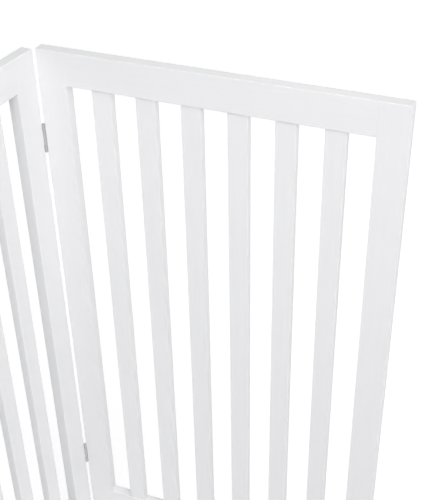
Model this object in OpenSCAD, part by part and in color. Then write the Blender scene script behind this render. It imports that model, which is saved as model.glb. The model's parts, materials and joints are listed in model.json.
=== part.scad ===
// Free-standing folding pet gate: three slatted wooden panels, each hinged to the next,
// that stand in a zigzag. Millimetres, Z up, origin on the floor under the middle panel's
// centre. X runs along the two end panels.

/* [Gate] */
// Width of one panel
panel_w = 508; // [440:1:700]
// Height of the gate, foot pads included
gate_h = 914; // [700:1:1000]
// Angle by which each end panel is folded out of line with the middle panel
fold = 84; // [20:1:160]

/* [Boards] */
// Thickness of the stiles and rails
frame_t = 17; // [16:0.5:22]
// Width of a stile, the upright board at each side of a panel
stile_w = 41; // [36:1:60]
// Height of the top and bottom rails
rail_h = 49; // [40:1:70]
// Clearance under the bottom rail
floor_gap = 20; // [12:1:60]
// Rounding of the rails' long edges and of the stiles' ends
edge_r = 1.2; // [0.8:0.1:2]
// Rounding of the slats' edges and of the stiles' outer side edges
side_r = 0.6; // [0.3:0.1:2]
// Rounding of the stiles' inner edges, which leaves a fine line where a rail meets a stile
inner_r = 0.3; // [0.2:0.1:0.8]

/* [Slats] */
// Slats in one panel
slats = 6; // [3:1:6]
// Width of a slat
slat_w = 27.5; // [22:0.5:34]
// Thickness of a slat, centred in the frame
slat_t = 13; // [12:0.5:15]

/* [Joinery] */
// Length of the tenon at each end of a slat
tenon_l = 10; // [6:0.5:15]
// How much narrower than the slat its tenon is, on every side
tenon_shoulder = 3; // [2:0.5:4]
// Diameter of the dowels between rails and stiles
dowel_d = 8; // [6:1:8]
// Length of a dowel, half in the rail and half in the stile
dowel_l = 30; // [20:1:36]
// Distance between the two dowels of a corner
dowel_spacing = 24; // [18:1:26]

/* [Hinges] */
// Length of a hinge
hinge_l = 45; // [40:1:64]
// Distance from a hinge to the rail next to it
hinge_from_rail = 62.5; // [20:0.5:120]
// Outer diameter of the hinge barrel
barrel_d = 3.2; // [3:0.1:5]
// Diameter of the hinge pin
pin_d = 1.6; // [1.2:0.1:1.8]
// Thickness of a hinge leaf
leaf_t = 0.8; // [0.6:0.1:1]
// How far a leaf reaches back over the edge of its stile
leaf_reach = 13; // [11:0.5:14]
// How far the pin's axis stands in front of the panel's face
pin_forward = 1.3; // [1.2:0.05:1.8]
// Shank diameter of a hinge screw
screw_d = 2.8; // [2.2:0.1:3]
// Head diameter of a hinge screw
screw_head_d = 5; // [4.4:0.1:5.4]
// Length of a hinge screw, head included
screw_l = 12; // [8:1:16]

/* [Feet] */
// Thickness of a foot pad
pad_t = 3; // [2:0.5:5]
// Length of a foot pad, along the stile's width
pad_l = 30; // [20:1:34]
// Width of a foot pad
pad_w = 12; // [8:0.5:13]

/* [Hidden] */
ends = ["right", "left"];
levels = ["upper", "lower"];
boards = ["top_rail", "bottom_rail", "dowels"];
end_stiles = ["inner_stile", "outer_stile", "inner_foot_pad", "outer_foot_pad"];
middle_stiles = ["right_stile", "left_stile", "right_foot_pad", "left_foot_pad"];
hinge_pieces = ["end_leaf", "middle_leaf", "pin", "end_screws", "middle_screws"];

$fn = 48;
paint = [0.93, 0.93, 0.92];
steel = [0.68, 0.69, 0.7];
screw_steel = [0.76, 0.76, 0.77];
beech = [0.8, 0.66, 0.46];
rubber = [0.3, 0.3, 0.31];

// Heights above the floor
bottom_rail_z = floor_gap;
top_rail_z = gate_h - rail_h;
slat_z = floor_gap + rail_h;
slat_l = top_rail_z - slat_z;
lower_hinge_z = slat_z + hinge_from_rail + hinge_l / 2;
upper_hinge_z = top_rail_z - hinge_from_rail - hinge_l / 2;

// Plan of a panel, with its own origin in its middle and its front face towards -Y
rail_l = panel_w - 2 * stile_w;
slat_gap = (rail_l - slats * slat_w) / (slats + 1);
front_y = -frame_t / 2;
edge_x = panel_w / 2;
pin_x = edge_x + barrel_d / 2;
pin_y = front_y - pin_forward;

// Fits
fit = 0.1;          // clearance of the glued joints, on every side
running = 0.05;     // radial clearance of the pin in its knuckles
knuckle_gap = 0.3;  // gap between neighbouring knuckles
bottoming = 0.5;    // spare depth of a mortise or a dowel hole
overcut = 1;        // how far a cut starts outside what it cuts

// Hinge: the end panel's leaf has the middle knuckle, the middle panel's leaf the outer two
middle_knuckle_l = hinge_l / 2 - 2 * knuckle_gap;
outer_knuckle_l = hinge_l / 4;
notch = 0.6;            // how far a leaf's plate stays behind the panel's face
notch_y = front_y + notch;
leaf_back_y = front_y + leaf_reach;
pin_head_step = 0.4;    // how much smaller the pin's head is than the barrel, on every side
pin_head_d = barrel_d - 2 * pin_head_step;
pin_head_l = 0.5;
screw_row = 0.6;        // place of the screws across a leaf, as a share of its reach
screw_row_y = front_y + leaf_reach * screw_row;
screw_stagger = 1.2;    // how far the middle screw stands forward and the others back
screw_pitch = 0.34;     // distance between screws, as a share of the hinge's length
screw_spacing = hinge_l * screw_pitch;
head_l = (screw_head_d - screw_d) / 2;
recess_d = 2.8;         // cross recess: its arms' length, width and depth
recess_w = 0.6;
recess_depth = 0.7;
tip_l = 4;              // screw tip: its length and the diameter it tapers to
tip_d = 0.6;

// Place of the right panel's middle when the middle panel is turned by the fold angle
right_centre = [
    pin_x * cos(fold) - pin_y * sin(fold) + pin_x,
    pin_x * sin(fold) + pin_y * cos(fold) - pin_y,
    0
];

// ---- Placing ----

module in_panel(panel) {
    if (panel == "middle") rotate(fold) children();
    if (panel == "right") translate(right_centre) children();
    if (panel == "left") rotate(180) translate(right_centre) children();
}

// The middle panel's hinged ends: the right one folds forwards, the left one backwards
module in_middle_end(end) {
    rotate(end == "right" ? fold : fold + 180) mirror([1, 0, 0]) children();
}

// ---- Shapes ----

// Rectangle with one corner radius on its -X side and another on its +X side
module rounded_rectangle(w, d, left_r, right_r) {
    for (side = [-1, 1]) {
        r = side < 0 ? left_r : right_r;
        translate([side * w / 4, 0]) square([w / 2, d - 2 * r], center = true);
        translate([side * (w / 2 - r) / 2, 0]) square([w / 2 - r, d], center = true);
        for (y = [-1, 1]) translate([side * (w / 2 - r), y * (d / 2 - r)]) circle(r);
    }
}

// Upright board standing on z = 0, its inner edge on the given side of its middle
module upright_board(w, t, h, inner) {
    left_r = inner < 0 ? inner_r : side_r;
    right_r = inner > 0 ? inner_r : side_r;
    intersection() {
        linear_extrude(h) rounded_rectangle(w, t, left_r, right_r);
        translate([0, t / 2, h / 2]) rotate([90, 0, 0])
            linear_extrude(t) rounded_rectangle(w, h, left_r, right_r);
        translate([-w / 2, 0, h / 2]) rotate([90, 0, 90])
            linear_extrude(w) rounded_rectangle(t, h, edge_r, edge_r);
    }
}

// Lying board centred on x = 0 with square ends, its base on z = 0
module lying_board(l, t, h) {
    translate([-l / 2, 0, h / 2]) rotate([0, 90, 0])
        linear_extrude(l) rounded_rectangle(h, t, edge_r, edge_r);
}

// Cylinder along X, centred on the origin
module bar_x(d, l) {
    rotate([0, 90, 0]) cylinder(d = d, h = l, center = true);
}

// Puts its children at the four rail ends of a panel, at the height of each dowel
module at_dowels() {
    for (side = [-1, 1], z = [bottom_rail_z, top_rail_z], row = [-1, 1])
        translate([side * rail_l / 2, 0, z + rail_h / 2 + row * dowel_spacing / 2]) children();
}

module dowel_holes() {
    at_dowels() bar_x(dowel_d + 2 * fit, dowel_l + 2 * bottoming);
}

function slat_x(i) = -rail_l / 2 + slat_gap * i + slat_w * (i - 0.5);

// Puts its children at a hinge's screws, on a panel's left edge
module at_screws(z) {
    for (i = [-1 : 1])
        translate([-edge_x, screw_row_y - screw_stagger * (1 - 2 * abs(i)), z + i * screw_spacing])
            children();
}

// Screw with its head flush on x = -leaf_t and its tip pointing to +X, grown by a clearance
module screw_body(grow) {
    translate([-leaf_t, 0, 0]) rotate([0, 90, 0]) {
        cylinder(d1 = screw_head_d + 2 * grow, d2 = screw_d + 2 * grow, h = head_l);
        cylinder(d = screw_d + 2 * grow, h = screw_l - tip_l);
        translate([0, 0, screw_l - tip_l])
            cylinder(d1 = screw_d + 2 * grow, d2 = tip_d + 2 * grow, h = tip_l);
    }
}

module cross_recess() {
    for (turn = [0, 90]) rotate([turn, 0, 0])
        translate([-leaf_t - overcut, -recess_d / 2, -recess_w / 2])
            cube([overcut + recess_depth, recess_d, recess_w]);
}

// ---- Boards of a panel ----

module stile(side) {
    translate([side * (panel_w - stile_w) / 2, 0, pad_t])
        upright_board(stile_w, frame_t, gate_h - pad_t, -side);
}

module plain_stile() {
    color(paint) difference() {
        stile(1);
        dowel_holes();
    }
}

module hinged_stile() {
    color(paint) difference() {
        stile(-1);
        dowel_holes();
        for (z = [lower_hinge_z, upper_hinge_z]) at_screws(z) screw_body(running);
    }
}

module rail(base_z, inner) {
    mortise_z = base_z + (inner > 0 ? rail_h : 0);
    color(paint) difference() {
        translate([0, 0, base_z]) lying_board(rail_l, frame_t, rail_h);
        dowel_holes();
        for (i = [1 : slats]) translate([slat_x(i), 0, mortise_z])
            cube([
                slat_w - 2 * tenon_shoulder + 2 * fit,
                slat_t - 2 * tenon_shoulder + 2 * fit,
                2 * (tenon_l + bottoming)
            ], center = true);
    }
}

module top_rail() { rail(top_rail_z, -1); }
module bottom_rail() { rail(bottom_rail_z, 1); }

module slat(i) {
    color(paint) translate([slat_x(i), 0, slat_z]) {
        linear_extrude(slat_l) rounded_rectangle(slat_w, slat_t, side_r, side_r);
        translate([0, 0, slat_l / 2])
            cube([
                slat_w - 2 * tenon_shoulder,
                slat_t - 2 * tenon_shoulder,
                slat_l + 2 * tenon_l
            ], center = true);
    }
}

module dowels() {
    chamfer = 1;
    color(beech) at_dowels() {
        bar_x(dowel_d, dowel_l - 2 * chamfer);
        for (end = [-1, 1]) rotate([0, end * 90, 0])
            translate([0, 0, dowel_l / 2 - chamfer])
                cylinder(d1 = dowel_d, d2 = dowel_d - 2 * chamfer, h = chamfer);
    }
}

module foot_pad(side) {
    color(rubber) translate([side * (panel_w - stile_w) / 2, 0, 0]) {
        translate([0, 0, pad_t / 2]) cube([pad_l - pad_w, pad_w, pad_t], center = true);
        for (end = [-1, 1]) translate([end * (pad_l - pad_w) / 2, 0, 0])
            cylinder(d = pad_w, h = pad_t);
    }
}

// ---- Hinge, on a panel's left edge ----

// Knuckle around the pin, with the strip that joins it to the leaf
module knuckle(z, l) {
    translate([-pin_x, pin_y, z - l / 2]) cylinder(d = barrel_d, h = l);
    translate([-edge_x - leaf_t, pin_y, z - l / 2])
        cube([leaf_t, leaf_back_y - pin_y, l]);
}

module leaf_plate(z) {
    translate([-edge_x - leaf_t, notch_y, z - hinge_l / 2])
        cube([leaf_t, leaf_back_y - notch_y, hinge_l]);
}

module leaf_holes(z) {
    translate([-pin_x, pin_y, z]) cylinder(d = pin_d + 2 * running, h = hinge_l + 2 * overcut, center = true);
    at_screws(z) screw_body(running);
}

module end_leaf(z) {
    color(steel) difference() {
        union() {
            leaf_plate(z);
            knuckle(z, middle_knuckle_l);
        }
        leaf_holes(z);
    }
}

module middle_leaf(z) {
    color(steel) difference() {
        union() {
            leaf_plate(z);
            for (end = [-1, 1])
                knuckle(z + end * (hinge_l - outer_knuckle_l) / 2, outer_knuckle_l);
        }
        leaf_holes(z);
    }
}

module pin(z) {
    color(screw_steel) translate([-pin_x, pin_y, z]) {
        cylinder(d = pin_d, h = hinge_l, center = true);
        for (end = [-1, 1]) translate([0, 0, end * (hinge_l + pin_head_l) / 2])
            cylinder(d = pin_head_d, h = pin_head_l, center = true);
    }
}

module screws(z) {
    color(screw_steel) at_screws(z) difference() {
        screw_body(0);
        cross_recess();
    }
}

module hinge_piece(piece, z) {
    if (piece == "end_leaf") end_leaf(z);
    if (piece == "middle_leaf") middle_leaf(z);
    if (piece == "pin") pin(z);
    if (piece == "end_screws" || piece == "middle_screws") screws(z);
}

// ---- The gate ----

for (p = ["right", "middle", "left"]) {
    in_panel(p) top_rail();
    in_panel(p) bottom_rail();
    in_panel(p) dowels();
    for (i = [1 : slats])
        in_panel(p) slat(i);
}

for (p = ends) {
    in_panel(p) hinged_stile();
    in_panel(p) plain_stile();
    in_panel(p) foot_pad(-1);
    in_panel(p) foot_pad(1);
    in_middle_end(p) hinged_stile();
    in_middle_end(p) foot_pad(-1);
    for (l = levels, piece = hinge_pieces) {
        z = l == "upper" ? upper_hinge_z : lower_hinge_z;
        on_end = piece == "end_leaf" || piece == "end_screws";
        union() {
            if (on_end) in_panel(p) hinge_piece(piece, z);
            else in_middle_end(p) hinge_piece(piece, z);
        }
    }
}
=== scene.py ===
"""Looks of the folding pet gate: satin white paint on wood, zinc-plated hinges, rubber feet."""
import json
import math

import bpy
from mathutils import Matrix, Vector


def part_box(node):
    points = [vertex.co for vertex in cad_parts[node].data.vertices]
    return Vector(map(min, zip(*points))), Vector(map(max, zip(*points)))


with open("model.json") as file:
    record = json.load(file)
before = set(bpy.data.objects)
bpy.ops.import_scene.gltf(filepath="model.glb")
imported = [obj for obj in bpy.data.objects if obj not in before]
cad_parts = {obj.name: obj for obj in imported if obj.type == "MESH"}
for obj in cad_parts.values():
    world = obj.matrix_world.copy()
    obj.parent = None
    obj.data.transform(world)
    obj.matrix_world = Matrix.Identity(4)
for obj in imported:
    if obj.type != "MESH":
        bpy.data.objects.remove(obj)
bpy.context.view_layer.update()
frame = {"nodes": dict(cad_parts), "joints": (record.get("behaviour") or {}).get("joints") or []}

MM = 0.001

# The camera, from the right panel's top corner next to the fold
EYE_OFFSET = Vector((0.687, -1.053, 0.522))
HEADING = 22.10                  # degrees to the left of +Y
PITCH = 34.66                    # degrees below the horizon
ROLL = -1.06                     # degrees about the line of sight
LENS = 71.1
SENSOR = 36.0                    # covers the long side of the picture
NEAR_CLIP = 0.05
FAR_CLIP = 200.0

# Stage: a white floor in a white cove, with softboxes around the gate
COVE_RADIUS = 50.0
COVE_HEIGHT = 50.0
COVE_FOOT = -1.0                 # the wall starts below the floor, so that no slit shows
COVE_GLOW = 1.0
STAGE_SIDES = 96                 # of the round floor and cove
FLOOR_ALBEDO = 0.3
FLOOR_ROUGHNESS = 0.9
SEEN_GLOW = 0.83                 # of the floor that is seen, where the softboxes light it
BOUNCE_GLOW = 0.67               # of the floor that lights the gate
FLOOR_TINT = (1.0, 1.0, 1.015)   # a little cool, which shows on the upright faces
LIT_RADIUS = 2.0                 # the softboxes' light falls off from here
DARK_RADIUS = 5.6                # to here, and the floor's own glow makes up for it
GLOW_RISE = 0.2                  # by this much
FLOOR_STEP = 1.0 * MM            # of the floor that lights, under the one that is seen
SOFTBOXES = {
    # azimuth from the front, elevation, distance, side and power
    "key": (45, 35, 5.0, 3.0, 99),
    "front": (0, 25, 5.0, 3.0, 11),
    "high": (30, 70, 5.0, 3.0, 94),
    "right": (70, 8, 5.0, 3.0, 32),
    "back_right": (130, 30, 5.0, 3.0, 39),
    "back": (180, 45, 5.0, 3.0, 32),
    "back_left": (-150, 40, 5.0, 3.0, 26),
    "top": (10, 56, 2.07, 1.0, 9.4),
}

# Colours
PAINT = (0.784, 0.784, 0.792)
LEAF_ZINC = (0.60, 0.595, 0.60)
SCREW_ZINC = (0.64, 0.64, 0.65)
RUBBER = (0.11, 0.11, 0.115)
BEECH = (0.62, 0.43, 0.25)

# Sizes of the noise patterns: a larger number is a finer pattern
BOARD_SCALE = 9.0                # broad streaks along a board
CLOUD_SCALE = 5.0
GRAIN_SCALE = 420.0
PEEL_SCALE = 520.0               # the slight orange peel of brushed paint
FIGURE_SCALE = 22.0              # of the growth rings
PORE_SCALE = 1500.0
MARK_SCALE = 2600.0              # rolling marks of the plated steel
PLATING_SCALE = 260.0
SPECKLE_SCALE = 900.0
DUST_SCALE = 60.0
FIBRE_SCALE = 700.0

# A pattern is drawn out along the length of a board, leaf or dowel where its scale is cut to this
GRAIN_STRETCH = 0.03
MARK_STRETCH = 0.06
FIBRE_STRETCH = 0.05

# How many finer layers a noise has, and how strong they are
BROAD_DETAIL = 1.0
PLAIN_DETAIL = 2.0
FINE_DETAIL = 3.0
FIBROUS_DETAIL = 4.0
PLAIN_STRENGTH = 0.5
FIBROUS_STRENGTH = 0.6

# Most values of a noise lie in this band
BAND_LOW = 0.3
BAND_HIGH = 0.7

# Growth rings
RING_PHASE = 150.0               # radians over the whole range of the figure

# End grain: the faces that look along an upright board, by the upright part of their normal
END_FROM = 0.8
END_TO = 0.95
PORE_OPEN = 0.35
PORE_CLOSED = 0.6

# What a pattern does to the tone, which the colour is multiplied by. A single number is added or
# taken away.
BOARD_TONE = 0.007
CLOUD_TONE = 0.006
GRAIN_TONE = (0.988, 1.008)
RING_TONE = 0.003
END_TONE = 0.004                 # only taken away, where the pores are open
MARK_TONE = 0.05
PLATING_TONE = (0.9, 1.04)
DUST_TONE = (0.85, 1.15)
SPECKLE_TONE = 0.1
FIBRE_TONE = (0.85, 1.08)

# Roughness, from a pattern's low values to its high ones
PAINT_ROUGHNESS = (0.36, 0.46)
END_ROUGHNESS = 0.05             # added on end grain
LEAF_ROUGHNESS = (0.30, 0.42)
SCREW_ROUGHNESS = (0.24, 0.36)
MARK_ROUGHNESS = 0.04            # added or taken away by the marks
RUBBER_ROUGHNESS = (0.7, 0.85)
BEECH_ROUGHNESS = 0.65

# Heights of the reliefs
PEEL_RELIEF = 0.03 * MM
GRAIN_RELIEF = 0.06 * MM
RING_RELIEF = 0.012 * MM
END_RELIEF = 0.02 * MM
MARK_RELIEF = 0.01 * MM
SPECKLE_RELIEF = 0.08 * MM
FIBRE_RELIEF = 0.05 * MM


# ---------------------------------------------------------------- node graphs

class Graph:
    """A small helper around a node tree. An input is either a value or the output that feeds it."""

    def __init__(self, tree):
        self.tree = tree
        tree.nodes.clear()

    def node(self, kind, inputs=(), **settings):
        made = self.tree.nodes.new(kind)
        for name, value in settings.items():
            setattr(made, name, value)
        for key, value in dict(inputs).items():
            socket = made.inputs[key]
            if isinstance(value, bpy.types.NodeSocket):
                self.tree.links.new(value, socket)
            else:
                socket.default_value = value
        return made

    def place(self):
        """A point's place on its own piece, so that patterns stay put when the gate folds."""
        return self.node("ShaderNodeTexCoord").outputs["Object"]

    def math(self, operation, a, b=0.0):
        return self.node("ShaderNodeMath", {0: a, 1: b}, operation=operation).outputs[0]

    def remap(self, value, low, high, new_low, new_high, **settings):
        inputs = {"Value": value, "From Min": low, "From Max": high, "To Min": new_low, "To Max": new_high}
        return self.node("ShaderNodeMapRange", inputs, **settings).outputs["Result"]

    def spread(self, noise, ends):
        """Spreads the band of a noise over these two ends."""
        return self.remap(noise, BAND_LOW, BAND_HIGH, *ends)

    def swing(self, noise, amount):
        """Spreads the band of a noise evenly about zero."""
        return self.spread(noise, (-amount, amount))

    def noise(self, vector, scale, detail=PLAIN_DETAIL, strength=PLAIN_STRENGTH):
        inputs = {"Vector": vector, "Scale": scale, "Detail": detail, "Roughness": strength}
        return self.node("ShaderNodeTexNoise", inputs).outputs["Fac"]

    def scaled(self, vector, scale):
        return self.node("ShaderNodeMapping", {"Vector": vector, "Scale": scale}).outputs["Vector"]

    def turned(self, vector, degrees):
        angle = (0.0, 0.0, math.radians(degrees))
        return self.node("ShaderNodeMapping", {"Vector": vector, "Rotation": angle}).outputs["Vector"]

    def bump(self, height, distance, normal=None):
        inputs = {"Height": height, "Distance": distance, "Strength": 1.0}
        if normal is not None:
            inputs["Normal"] = normal
        return self.node("ShaderNodeBump", inputs).outputs["Normal"]

    def tinted(self, colour, factor):
        """The colour times a factor that varies over the surface."""
        mix = self.node("ShaderNodeMix", data_type="RGBA", blend_type="MULTIPLY")
        amount, first, second = mix.inputs[0], mix.inputs[6], mix.inputs[7]
        amount.default_value = 1.0
        first.default_value = (*colour, 1.0)
        self.tree.links.new(factor, second)
        return mix.outputs[2]

    def surface(self, settings):
        """Ends the graph with a shader of these settings."""
        shader = self.node("ShaderNodeBsdfPrincipled", settings)
        self.node("ShaderNodeOutputMaterial", {"Surface": shader.outputs["BSDF"]})


def new_material(name):
    material = bpy.data.materials.new(name)
    material.use_nodes = True
    return material, Graph(material.node_tree)


# ---------------------------------------------------------------- materials

def paint(name, panel_angle, along):
    """Satin white paint on a board. along is the board's length in its panel's own axes, X or Z."""
    material, g = new_material(name)
    coordinates = g.node("ShaderNodeTexCoord").outputs
    local = g.turned(coordinates["Object"], -panel_angle)
    stretch = (GRAIN_STRETCH, 1.0, 1.0) if along == "X" else (1.0, 1.0, GRAIN_STRETCH)
    lengthways = g.scaled(local, stretch)
    boards = g.noise(lengthways, BOARD_SCALE, BROAD_DETAIL)
    cloud = g.noise(local, CLOUD_SCALE, FINE_DETAIL)
    grain = g.noise(lengthways, GRAIN_SCALE, FIBROUS_DETAIL, FIBROUS_STRENGTH)
    peel = g.noise(local, PEEL_SCALE)
    # Growth rings are the contours of a slow noise, as a saw leaves them on a board's face
    figure = g.noise(lengthways, FIGURE_SCALE, BROAD_DETAIL)
    rings = g.math("SINE", g.math("MULTIPLY", figure, RING_PHASE))
    facing = g.node("ShaderNodeSeparateXYZ", {"Vector": coordinates["Normal"]}).outputs["Z"]
    end = g.remap(g.math("ABSOLUTE", facing), END_FROM, END_TO, 0.0, 1.0) if along == "Z" else 0.0
    pores = g.noise(g.scaled(local, (1.0, 1.0, 0.0)), PORE_SCALE)
    pore_tone = g.remap(pores, PORE_OPEN, PORE_CLOSED, END_TONE, 0.0)

    tone = g.math("ADD", g.swing(boards, BOARD_TONE), g.swing(cloud, CLOUD_TONE))
    tone = g.math("ADD", tone, g.spread(grain, GRAIN_TONE))
    tone = g.math("ADD", tone, g.math("MULTIPLY", rings, RING_TONE))
    tone = g.math("SUBTRACT", tone, g.math("MULTIPLY", end, pore_tone))
    roughness = g.spread(cloud, PAINT_ROUGHNESS)
    roughness = g.math("ADD", roughness, g.math("MULTIPLY", end, END_ROUGHNESS))
    relief = g.bump(peel, PEEL_RELIEF)
    relief = g.bump(grain, GRAIN_RELIEF, relief)
    relief = g.bump(rings, RING_RELIEF, relief)
    relief = g.bump(g.math("MULTIPLY", end, pores), END_RELIEF, relief)
    g.surface({"Base Color": g.tinted(PAINT, tone), "Roughness": roughness, "Normal": relief})
    return material


def plated_steel(name, colour, plating_roughness):
    """Zinc-plated steel with fine lengthways rolling marks and a slightly clouded plating."""
    material, g = new_material(name)
    place = g.place()
    marks = g.noise(g.scaled(place, (1.0, 1.0, MARK_STRETCH)), MARK_SCALE, FINE_DETAIL)
    cloud = g.noise(place, PLATING_SCALE, FINE_DETAIL)
    tone = g.math("ADD", g.swing(marks, MARK_TONE), g.spread(cloud, PLATING_TONE))
    roughness = g.math("ADD", g.spread(cloud, plating_roughness), g.swing(marks, MARK_ROUGHNESS))
    relief = g.bump(marks, MARK_RELIEF)
    g.surface({
        "Base Color": g.tinted(colour, tone), "Metallic": 1.0, "Roughness": roughness, "Normal": relief,
    })
    return material


def rubber(name):
    """Dark grey rubber, speckled and a little dusty."""
    material, g = new_material(name)
    place = g.place()
    speckle = g.noise(place, SPECKLE_SCALE, FINE_DETAIL)
    dust = g.noise(place, DUST_SCALE, FINE_DETAIL)
    tone = g.math("ADD", g.spread(dust, DUST_TONE), g.swing(speckle, SPECKLE_TONE))
    roughness = g.spread(dust, RUBBER_ROUGHNESS)
    relief = g.bump(speckle, SPECKLE_RELIEF)
    g.surface({"Base Color": g.tinted(RUBBER, tone), "Roughness": roughness, "Normal": relief})
    return material


def bare_wood(name):
    """Unpainted beech, with its fibres along X."""
    material, g = new_material(name)
    lengthways = g.scaled(g.place(), (FIBRE_STRETCH, 1.0, 1.0))
    fibres = g.noise(lengthways, FIBRE_SCALE, FIBROUS_DETAIL, FIBROUS_STRENGTH)
    tone = g.spread(fibres, FIBRE_TONE)
    relief = g.bump(fibres, FIBRE_RELIEF)
    g.surface({"Base Color": g.tinted(BEECH, tone), "Roughness": BEECH_ROUGHNESS, "Normal": relief})
    return material


def dress():
    """Gives every CAD node its material."""
    # At rest the middle panel stands as far from the end panels' line as they still have to turn
    fold = frame["joints"][0]["range_deg"][1]
    angles = {"right": 0.0, "left": 0.0, "middle": fold}
    boards = {
        (panel, along): paint(f"paint_{panel}_{'rail' if along == 'X' else 'upright'}", angle, along)
        for panel, angle in angles.items() for along in "XZ"
    }
    leaf = plated_steel("zinc_leaf", LEAF_ZINC, LEAF_ROUGHNESS)
    screw_or_pin = plated_steel("zinc_screw", SCREW_ZINC, SCREW_ROUGHNESS)
    foot = rubber("foot_rubber_grey")
    dowel = bare_wood("beech")
    for name, node in frame["nodes"].items():
        panel = name.split("_")[0]
        if name.endswith("rail"):
            chosen = boards[panel, "X"]
        elif name.endswith("stile") or "_slat_" in name:
            chosen = boards[panel, "Z"]
        elif name.endswith("foot_pad"):
            chosen = foot
        elif name.endswith("dowels"):
            chosen = dowel
        elif name.endswith("leaf"):
            chosen = leaf
        else:
            chosen = screw_or_pin
        for slot in node.material_slots:
            slot.material = chosen


# ---------------------------------------------------------------- stage

def stage_piece(name, mesh, material):
    piece = bpy.data.objects.new(name, mesh)
    mesh.materials.append(material)
    bpy.context.scene.collection.objects.link(piece)
    return piece


def make_only_seen(piece):
    """The camera still sees the piece, but it no longer lights, mirrors or shades anything."""
    piece.visible_diffuse = False
    piece.visible_glossy = False
    piece.visible_transmission = False
    piece.visible_shadow = False


def circle(height):
    """Corners of a circle as wide as the cove."""
    turns = [2 * math.pi * i / STAGE_SIDES for i in range(STAGE_SIDES)]
    return [(COVE_RADIUS * math.cos(turn), COVE_RADIUS * math.sin(turn), height) for turn in turns]


def floor(name, glow, height):
    """A round white floor that glows, so that it stays white and the shadows on it are faint."""
    mesh = bpy.data.meshes.new(name)
    mesh.from_pydata(circle(height), [], [tuple(range(STAGE_SIDES))])
    material, g = new_material(name + "_white")
    radius = g.node("ShaderNodeVectorMath", {0: g.place()}, operation="LENGTH").outputs["Value"]
    brightness = g.remap(
        radius, LIT_RADIUS, DARK_RADIUS, glow, glow + GLOW_RISE, interpolation_type="SMOOTHSTEP"
    )
    g.surface({
        "Base Color": (FLOOR_ALBEDO, FLOOR_ALBEDO, FLOOR_ALBEDO, 1.0), "Roughness": FLOOR_ROUGHNESS,
        "Specular IOR Level": 0.0,
        "Emission Color": (*FLOOR_TINT, 1.0), "Emission Strength": brightness,
    })
    return stage_piece(name, mesh, material)


def floors():
    """One floor is only seen. The other, less bright one lights the gate and is not seen."""
    make_only_seen(floor("studio_floor", SEEN_GLOW, 0.0))
    bounce = floor("studio_bounce", BOUNCE_GLOW, -FLOOR_STEP)
    bounce.visible_camera = False


def cove():
    """The white wall and ceiling around the floor. They are only seen."""
    mesh = bpy.data.meshes.new("studio_cove")
    n = STAGE_SIDES
    wall = [(i, (i + 1) % n, n + (i + 1) % n, n + i) for i in range(n)]
    ceiling = tuple(range(n, 2 * n))
    mesh.from_pydata(circle(COVE_FOOT) + circle(COVE_HEIGHT), [], wall + [ceiling])
    material, g = new_material("studio_cove_white")
    light = g.node("ShaderNodeEmission", {"Color": (1.0, 1.0, 1.0, 1.0), "Strength": COVE_GLOW})
    g.node("ShaderNodeOutputMaterial", {"Surface": light.outputs["Emission"]})
    make_only_seen(stage_piece("studio_cove", mesh, material))


def dark_sky():
    """No light comes from the sky, only from the softboxes and the floor."""
    world = bpy.data.worlds.new("studio")
    world.use_nodes = True
    g = Graph(world.node_tree)
    light = g.node("ShaderNodeBackground", {"Color": (1.0, 1.0, 1.0, 1.0), "Strength": 0.0})
    g.node("ShaderNodeOutputWorld", {"Surface": light.outputs["Background"]})
    bpy.context.scene.world = world


def softboxes():
    """Square lamps that face the middle of the right panel, and are not seen themselves."""
    low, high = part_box("right_top_rail")
    target = Vector(((low.x + high.x) / 2, low.y, high.z / 2))
    for name, (azimuth, elevation, distance, size, watts) in SOFTBOXES.items():
        a, e = math.radians(azimuth), math.radians(elevation)
        away = Vector((math.sin(a) * math.cos(e), -math.cos(a) * math.cos(e), math.sin(e)))
        light = bpy.data.lights.new(name, "AREA")
        light.shape = "SQUARE"
        light.size = size
        light.energy = watts
        lamp = bpy.data.objects.new(name, light)
        lamp.visible_camera = False
        lamp.location = target + away * distance
        lamp.rotation_mode = "QUATERNION"
        lamp.rotation_quaternion = (-away).to_track_quat("-Z", "Y")
        bpy.context.scene.collection.objects.link(lamp)


def camera():
    low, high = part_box("right_inner_stile")
    corner = Vector((low.x, low.y, high.z))
    lens = bpy.data.cameras.new("camera")
    lens.lens = LENS
    lens.sensor_width = SENSOR
    lens.clip_start = NEAR_CLIP
    lens.clip_end = FAR_CLIP
    eye = bpy.data.objects.new("camera", lens)
    turn = (
        Matrix.Rotation(math.radians(HEADING), 4, "Z")
        @ Matrix.Rotation(math.radians(90 - PITCH), 4, "X")
        @ Matrix.Rotation(math.radians(ROLL), 4, "Z")
    )
    eye.matrix_world = Matrix.Translation(corner + EYE_OFFSET) @ turn
    bpy.context.scene.collection.objects.link(eye)
    bpy.context.scene.camera = eye


camera()
dress()
floors()
cove()
dark_sky()
softboxes()
bpy.context.scene.view_settings.view_transform = "Standard"
